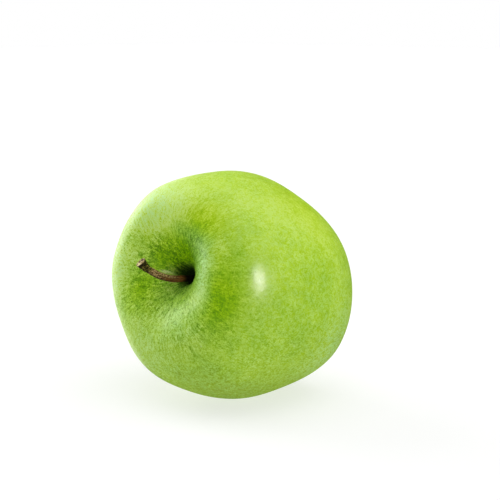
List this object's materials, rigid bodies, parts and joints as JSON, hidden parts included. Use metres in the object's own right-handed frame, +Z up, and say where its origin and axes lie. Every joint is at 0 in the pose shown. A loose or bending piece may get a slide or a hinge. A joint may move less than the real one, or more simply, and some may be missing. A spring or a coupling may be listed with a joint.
{
  "type": "green apple",
  "caption": "Whole green apple lying on its side on a small flat spot, with its curved stem in a broad stem cavity and dried sepals and stamens in the calyx basin.",
  "frame": {"origin": "middle of the small flat spot on the fruit's side that it rests on, at the level of the surface under it", "axes": "+Z up from the surface; the stem end faces -Y with the stem axis raised about 16 degrees; +X to the right of someone facing the stem end"},
  "size_m": [0.0785, 0.0773, 0.0762],
  "materials": {
    "green_skin": "satin",
    "stem_bark": "matte",
    "dried_sepal": "matte",
    "dried_stamen": "matte"
  },
  "bodies": {
    "root": {"apple_body": "green_skin", "stem": "stem_bark", "sepal_1": "dried_sepal", "sepal_2": "dried_sepal", "sepal_3": "dried_sepal", "sepal_4": "dried_sepal", "sepal_5": "dried_sepal", "dried_stamens": "dried_stamen"}
  },
  "joints": []
}
